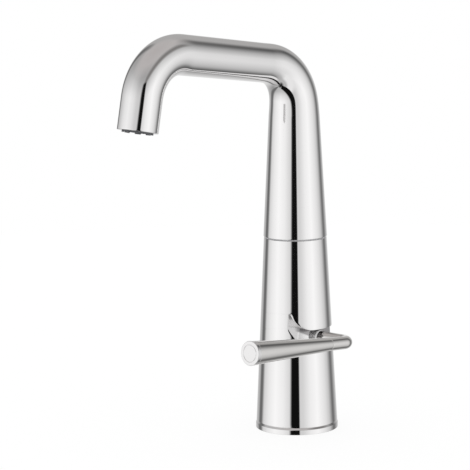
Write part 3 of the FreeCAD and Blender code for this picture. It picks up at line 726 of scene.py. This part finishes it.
def spout_grid():
    """A circle carried along the spout's line in the plane x = 0.

    The line is given by distances forward and up: straight up, a bend, straight, a bend, straight. The
    radius changes evenly along each stretch and settles at the end of a bend. The insides of the foot and
    the outlet are carried the same way.
    """
    edge_rings = 6
    bend_rings = 96
    rear_turn = np.pi / 2 - arm_slope
    front_turn = np.pi / 2 + arm_slope - outlet_tilt
    arm = np.array([math.cos(arm_slope), math.sin(arm_slope)])
    outlet = np.array([math.sin(outlet_tilt), -math.cos(outlet_tilt)])
    rear_corner = np.array([0.0, arm_axis_height])
    front_corner = rear_corner + arm * (spout_reach / math.cos(arm_slope))
    bend_bottom = arm_axis_height - rear_bend_reach
    arm_start = rear_corner + arm * rear_bend_reach
    arm_end = front_corner - arm * front_bend_reach
    outlet_start = front_corner + outlet * front_bend_reach
    lip = outlet_start + outlet * (outlet_start[1] - outlet_height) / math.cos(outlet_tilt)

    def straight(start, end, start_radius, end_radius, heading, count):
        """Points along a line, with the heading's angle above level and the radius at each."""
        share = np.linspace(0.0, 1.0, count)[:, None]
        return np.hstack([start + (np.array(end) - start) * share, np.full((count, 1), heading),
                          start_radius + (end_radius - start_radius) * share])

    def bend(start, heading, turn, reach, easing, start_radius, end_radius, count):
        """Points along a bend that turns downwards from its heading.

        Its curvature grows evenly over the first easing of the line and falls evenly over the last. Sums of
        short steps give the headings and the places, which are scaled to start at reach before the corner.
        The radius changes evenly at first, and ever less over the last taper_settling of the line.
        """
        substeps = 16
        way = np.linspace(0.0, 1.0, substeps * (count - 1) + 1)
        curvature = np.interp(way, [0.0, easing, 1.0 - easing, 1.0], [0.0, 1.0, 1.0, 0.0])
        done = np.concatenate([[0.0], np.cumsum(curvature[1:] + curvature[:-1])])
        angle = heading - turn * done / done[-1]
        middle = (angle[1:] + angle[:-1]) / 2
        steps = np.stack([np.cos(middle), np.sin(middle)], axis=-1)
        place = np.concatenate([[[0.0, 0.0]], np.cumsum(steps, axis=0)])
        place = place * 2 * reach * math.cos(turn / 2) / np.linalg.norm(place[-1])
        slope = np.interp(way, [0.0, 1.0 - taper_settling, 1.0], [1.0, 1.0, 0.0])
        thinned = np.concatenate([[0.0], np.cumsum(slope[1:] + slope[:-1])])
        share = (thinned / thinned[-1])[::substeps, None]
        return np.hstack([start + place[::substeps], angle[::substeps, None],
                          start_radius + (end_radius - start_radius) * share])

    upright = np.pi / 2
    outwards = outlet_tilt - np.pi / 2
    quarter = np.linspace(0.0, np.pi / 2, edge_rings)[:, None]
    foot_inside = straight((0.0, bush_bore_top), (0.0, spout_bottom), bush_bore, bush_bore, upright, count=6)
    foot_edge = np.hstack([0 * quarter, spout_bottom + spout_edge * (1 - np.cos(quarter)),
                           0 * quarter + upright, spout_foot_radius - spout_edge * (1 - np.sin(quarter))])
    foot = straight((0.0, spout_bottom + 2 * spout_edge), (0.0, bend_bottom),
                    spout_foot_radius - spout_foot_drop, bend_start_radius, upright, count=48)
    rear = bend((0.0, bend_bottom), upright, rear_turn, rear_bend_reach, rear_bend_easing, bend_start_radius,
                arm_start_radius, bend_rings)
    level = straight(arm_start, arm_end, arm_start_radius, arm_end_radius, arm_slope, count=40)
    front = bend(arm_end, arm_slope, front_turn, front_bend_reach, front_bend_easing, arm_end_radius,
                 arm_end_radius, bend_rings)
    last = straight(outlet_start, lip - 2 * spout_edge * outlet, arm_end_radius, arm_end_radius, outwards,
                    count=20)
    lip_edge = np.hstack([lip - spout_edge * (1 - np.sin(quarter)) * outlet, 0 * quarter + outwards,
                          arm_end_radius - spout_edge * (1 - np.cos(quarter))])
    bore = straight(lip, lip - aerator_depth * outlet, aerator_bore, aerator_bore, outwards, count=8)
    line = np.concatenate([foot_inside, foot_edge, foot, rear[1:], level[1:], front[1:], last[1:], lip_edge,
                           bore])
    centre = np.stack([0 * line[:, 0], -line[:, 0], line[:, 1]], axis=-1)
    forward = np.stack([0 * line[:, 2], -np.cos(line[:, 2]), np.sin(line[:, 2])], axis=-1)
    across = np.tile([1.0, 0.0, 0.0], (len(line), 1))
    return carried(centre, forward, across, line[:, 3], segments=240)


spout = surface("spout_bent", spout_grid(), close_start=True, close_end=True)
dress(spout, "spout", "chrome", chrome_plate, "spout")

# Aerator
# A threaded housing of dark plastic in the outlet, with coin notches round its rim. It holds a plastic jet
# disc, a steel screen, a flow regulator and a rubber washer.
dress_node("aerator_housing", dark_plastic)
dress_node("aerator_core", dark_plastic)
dress_node("aerator_screen", aerator_steel)
dress_node("flow_regulator", dark_plastic)
dress_node("aerator_washer", epdm_rubber)

# Studio
# A white paper floor, a pale room with two large soft boxes, and two cards that only reflections show. They
# aren't part of the tap. The chrome shows the boxes as wide white fields and the black card as a dark line.
floor_rings = (900.0, 400.0, 120.0, 0.5)
floor_height = -0.1
camera_place = (836.41, -928.93, 308.0)
camera_azimuth = 43.73
camera_tilt = 8.43
camera_roll = -0.78
focal_pixels = 2014.9
picture_pixels = 470.0
sensor_width = 36.0
nearest_view = 10.0

floor_outline = np.array([(radius, floor_height) for radius in floor_rings])
floor = surface("studio_floor", turned(floor_outline, segments=96), close_end=True)
floor_paper, floor_tree, floor_output = new_finish("white_paper_floor")
paper = add_node(floor_tree, "ShaderNodeBsdfDiffuse", {"Color": linear("#F4F4F4")})
glow = add_node(floor_tree, "ShaderNodeEmission", {"Color": linear("#FFFFFF"), "Strength": 1.04})
lit = add_node(floor_tree, "ShaderNodeMixShader", {"Fac": 0.16},
               {1: glow.outputs["Emission"], 2: paper.outputs["BSDF"]})
floor_tree.links.new(lit.outputs["Shader"], floor_output.inputs["Surface"])
floor.data.materials.append(floor_paper)
floor.visible_glossy = False

# Both cards fade at their edges: a black one between the tap and the camera, with a slanting left edge, and
# a softer grey one close by on the left.
facing = math.atan2(camera_place[1], camera_place[0])


def hang_card(name, azimuth, distance, left, right, slant, heights, top_fade, tone):
    """A flat upright sheet that faces the tap, in millimetres: middle + side times u, at heights v.

    azimuth is in degrees from the camera's side. left and right are (edge, half fade) in u. The left edge
    moves by slant times the height, and the top fades out over top_fade.
    """
    angle = facing + math.radians(azimuth)
    side = np.array([-math.sin(angle), math.cos(angle)])
    lowest = left[0] - left[1] + min(0.0, slant * heights[0])
    across = np.array([lowest, right[0] + right[1]])[None, :]
    across, height = np.broadcast_arrays(across, np.array(heights)[:, None])
    points = np.stack([distance * math.cos(angle) + side[0] * across,
                       distance * math.sin(angle) + side[1] * across, height], axis=-1)
    mesh = bpy.data.meshes.new(name)
    mesh.from_pydata((points.reshape(-1, 3) * MILLIMETRE).tolist(), [], [[0, 1, 3, 2]])
    card = bpy.data.objects.new(name, mesh)
    bpy.context.scene.collection.objects.link(card)
    paint, tree, output = new_finish(name + "_paint")
    place = add_node(tree, "ShaderNodeTexCoord").outputs["Object"]
    shown = add_node(tree, "ShaderNodeValue")
    shown.outputs[0].default_value = 1.0
    for axis, start, end, before in (
            ((*side.tolist(), -slant), left[0] - left[1], left[0] + left[1], 0.0),
            ((*side.tolist(), 0.0), right[0] - right[1], right[0] + right[1], 1.0),
            ((0.0, 0.0, 1.0), heights[1] - top_fade, heights[1], 1.0)):
        along = add_node(tree, "ShaderNodeVectorMath", {"operation": "DOT_PRODUCT", 1: axis}, {0: place})
        cover = add_node(tree, "ShaderNodeMapRange",
                         {"interpolation_type": "SMOOTHSTEP", "From Min": start * MILLIMETRE,
                          "From Max": end * MILLIMETRE, "To Min": before, "To Max": 1.0 - before},
                         {"Value": along.outputs["Value"]})
        shown = add_node(tree, "ShaderNodeMath", {"operation": "MULTIPLY"},
                         {0: shown.outputs[0], 1: cover.outputs[0]})
    solid = add_node(tree, "ShaderNodeEmission", {"Color": linear(tone), "Strength": 1.0})
    clear = add_node(tree, "ShaderNodeBsdfTransparent")
    faded = add_node(tree, "ShaderNodeMixShader", {},
                     {0: shown.outputs[0], 1: clear.outputs[0], 2: solid.outputs[0]})
    tree.links.new(faded.outputs[0], output.inputs["Surface"])
    mesh.materials.append(paint)
    card.visible_camera = False
    card.visible_diffuse = False
    card.visible_shadow = False
    card.visible_transmission = False


hang_card("studio_card", azimuth=0.0, distance=600.0, left=(-174.5, 45.0), right=(82.0, 20.0), slant=0.23,
          heights=(-4000.0, 520.0), top_fade=50.0, tone="#101010")
hang_card("studio_side_card", azimuth=-123.0, distance=300.0, left=(-58.0, 40.0), right=(58.0, 40.0),
          slant=0.0, heights=(-900.0, 900.0), top_fade=500.0, tone="#6C6C6C")

room = bpy.data.worlds.new("pale_room")
bpy.context.scene.world = room
room.use_nodes = True
room_tree = room.node_tree
room_tree.nodes.clear()
room_output = add_node(room_tree, "ShaderNodeOutputWorld")
ray = add_node(room_tree, "ShaderNodeLightPath")
direction = add_node(room_tree, "ShaderNodeTexCoord").outputs["Generated"]
from_camera = add_node(room_tree, "ShaderNodeVectorRotate", {"rotation_type": "Z_AXIS", "Angle": -facing},
                       {"Vector": direction})
parts = add_node(room_tree, "ShaderNodeSeparateXYZ", {}, {"Vector": from_camera.outputs["Vector"]})
heading = add_node(room_tree, "ShaderNodeMath", {"operation": "ARCTAN2"},
                   {0: parts.outputs["Y"], 1: parts.outputs["X"]}).outputs[0]
lift = add_node(room_tree, "ShaderNodeMath", {"operation": "ARCSINE"}, {0: parts.outputs["Z"]}).outputs[0]
# As a share, white shows a tone in full and black shows none of it.
full = "#FFFFFF"
none = "#000000"


def light_ramp(angle, reach, stops):
    """Tones over an angle in radians, from -reach to +reach degrees, even between (degrees, tone) stops."""
    share = add_node(room_tree, "ShaderNodeMapRange",
                     {"From Min": -math.radians(reach), "From Max": math.radians(reach)}, {"Value": angle})
    node = add_node(room_tree, "ShaderNodeValToRGB", {}, {"Fac": share.outputs["Result"]})
    elements = node.color_ramp.elements
    for number, (degrees, tone) in enumerate(stops):
        place = (degrees + reach) / (2 * reach)
        element = elements[number] if number < 2 else elements.new(place)
        element.position = place
        element.color = linear(tone)
    return node.outputs["Color"]


def painted(below, tone, span, rise):
    """The room with one more plain tone in it, whose share is span (round the room) times rise (upwards)."""
    share = add_node(room_tree, "ShaderNodeMath", {"operation": "MULTIPLY"}, {0: span, 1: rise})
    mixed = add_node(room_tree, "ShaderNodeMix", {"data_type": "RGBA", 7: linear(tone)},
                     {0: share.outputs[0], 6: below})
    return mixed.outputs[2]


# Round the room from the camera's side: a soft box on each side, a gap behind each box and a white back wall.
walls = light_ramp(heading, 180.0, [
    (-180, "#E8E8E8"), (-160, "#C8C8C8"), (-147, "#B4B4B4"), (-130, "#C4C4C4"), (-118, "#D0D0D0"),
    (-104, "#E0E0E0"), (-90, "#F0F0F0"), (-65, "#FFFFFF"), (-40, "#F4F4F4"), (-20, "#DCDCDC"),
    (0, "#D2D2D2"), (18, "#D8D8D8"), (40, "#F4F4F4"), (62, "#FFFFFF"), (85, "#ECECEC"), (93, "#E4E4E4"),
    (100, "#D8D8D8"), (107, "#CCCCCC"), (113, "#B4B4B4"), (119, "#949494"), (127, "#6C6C6C"),
    (135, "#848484"), (145, "#ACACAC"), (160, "#D0D0D0"), (180, "#E8E8E8")])
# From the floor to the ceiling: full at eye level and dimmer above the boxes and near the floor.
levels = light_ramp(lift, 90.0, [
    (-90, "#A0A0A0"), (-60, "#C8C8C8"), (-35, "#ECECEC"), (-10, "#FFFFFF"), (8, "#FFFFFF"), (25, "#DEDEDE"),
    (40, "#C0C0C0"), (60, "#B4B4B4"), (90, "#B8B8B8")])
walls_lit = add_node(room_tree, "ShaderNodeMix", {"data_type": "RGBA", "blend_type": "MULTIPLY", 0: 1.0},
                     {6: walls, 7: levels})
# Overhead the walls give way to a plain grey ceiling, and underfoot to a pale floor, dark straight below.
plain_tone = light_ramp(lift, 90.0, [
    (-90, "#181818"), (-83, "#282828"), (-74, "#BCBCBC"), (-30, "#C8C8C8"), (30, "#BEBBBA"), (90, "#B4B0AF")])
plain_share = light_ramp(lift, 90.0, [(-72, full), (-52, none), (34, none), (60, full)])
plain_room = add_node(room_tree, "ShaderNodeMix", {"data_type": "RGBA"},
                      {0: plain_share, 6: walls_lit.outputs[2], 7: plain_tone})
# High up, the wall behind the tap is grey.
back_span = light_ramp(heading, 180.0, [(-140, full), (-122, none), (134, none), (150, full)])
back_rise = light_ramp(lift, 90.0, [(6, none), (18, full), (40, full), (75, none)])
back_room = painted(plain_room.outputs[2], "#AEADAC", back_span, back_rise)
# In front on the right, the white table catches the soft box's light.
table_span = light_ramp(heading, 180.0, [(-15, none), (10, full), (72, full), (92, none)])
table_rise = light_ramp(lift, 90.0, [(-66, none), (-56, full), (-40, full), (-28, none)])
table_room = painted(back_room, "#ECECEC", table_span, table_rise)
# The right soft box is a flat panel with a dark frame along its upper edge.
box_facing = math.radians(68.0)
box_depth = add_node(room_tree, "ShaderNodeVectorMath",
                     {"operation": "DOT_PRODUCT", 1: (math.cos(box_facing), math.sin(box_facing), 0.0)},
                     {0: from_camera.outputs["Vector"]})
box_lift = add_node(room_tree, "ShaderNodeMath", {"operation": "ARCTAN2"},
                    {0: parts.outputs["Z"], 1: box_depth.outputs["Value"]})
box_span = light_ramp(heading, 180.0, [(0, none), (12, full), (100, full), (112, none)])
box_rise = light_ramp(box_lift.outputs[0], 90.0, [(34, none), (42, full), (48, full), (58, none)])
room_tone = painted(table_room, "#807E7D", box_span, box_rise)
seen = add_node(room_tree, "ShaderNodeMath", {"operation": "MAXIMUM"},
                {0: ray.outputs["Is Camera Ray"], 1: ray.outputs["Is Transmission Ray"]})
soft_light = add_node(room_tree, "ShaderNodeBackground", {"Color": linear("#FFFFFF"), "Strength": 0.9})
mirror_view = add_node(room_tree, "ShaderNodeBackground", {"Strength": 1.0}, {"Color": room_tone})
white_view = add_node(room_tree, "ShaderNodeBackground", {"Color": linear("#FFFFFF"), "Strength": 1.0})
with_mirror = add_node(room_tree, "ShaderNodeMixShader", {},
                       {0: ray.outputs["Is Glossy Ray"], 1: soft_light.outputs[0], 2: mirror_view.outputs[0]})
with_white = add_node(room_tree, "ShaderNodeMixShader", {},
                      {0: seen.outputs[0], 1: with_mirror.outputs[0], 2: white_view.outputs[0]})
room_tree.links.new(with_white.outputs["Shader"], room_output.inputs["Surface"])

camera = bpy.data.objects.new("studio_camera", bpy.data.cameras.new("studio_camera"))
bpy.context.scene.collection.objects.link(camera)
camera.data.sensor_width = sensor_width
camera.data.lens = focal_pixels / picture_pixels * sensor_width
camera.data.clip_start = nearest_view * MILLIMETRE
camera.matrix_world = (Matrix.Translation(Vector(camera_place) * MILLIMETRE)
                       @ Matrix.Rotation(math.radians(camera_azimuth), 4, "Z")
                       @ Matrix.Rotation(math.radians(90.0 - camera_tilt), 4, "X")
                       @ Matrix.Rotation(math.radians(camera_roll), 4, "Z"))
bpy.context.scene.camera = camera
bpy.context.scene.view_settings.view_transform = "Standard"
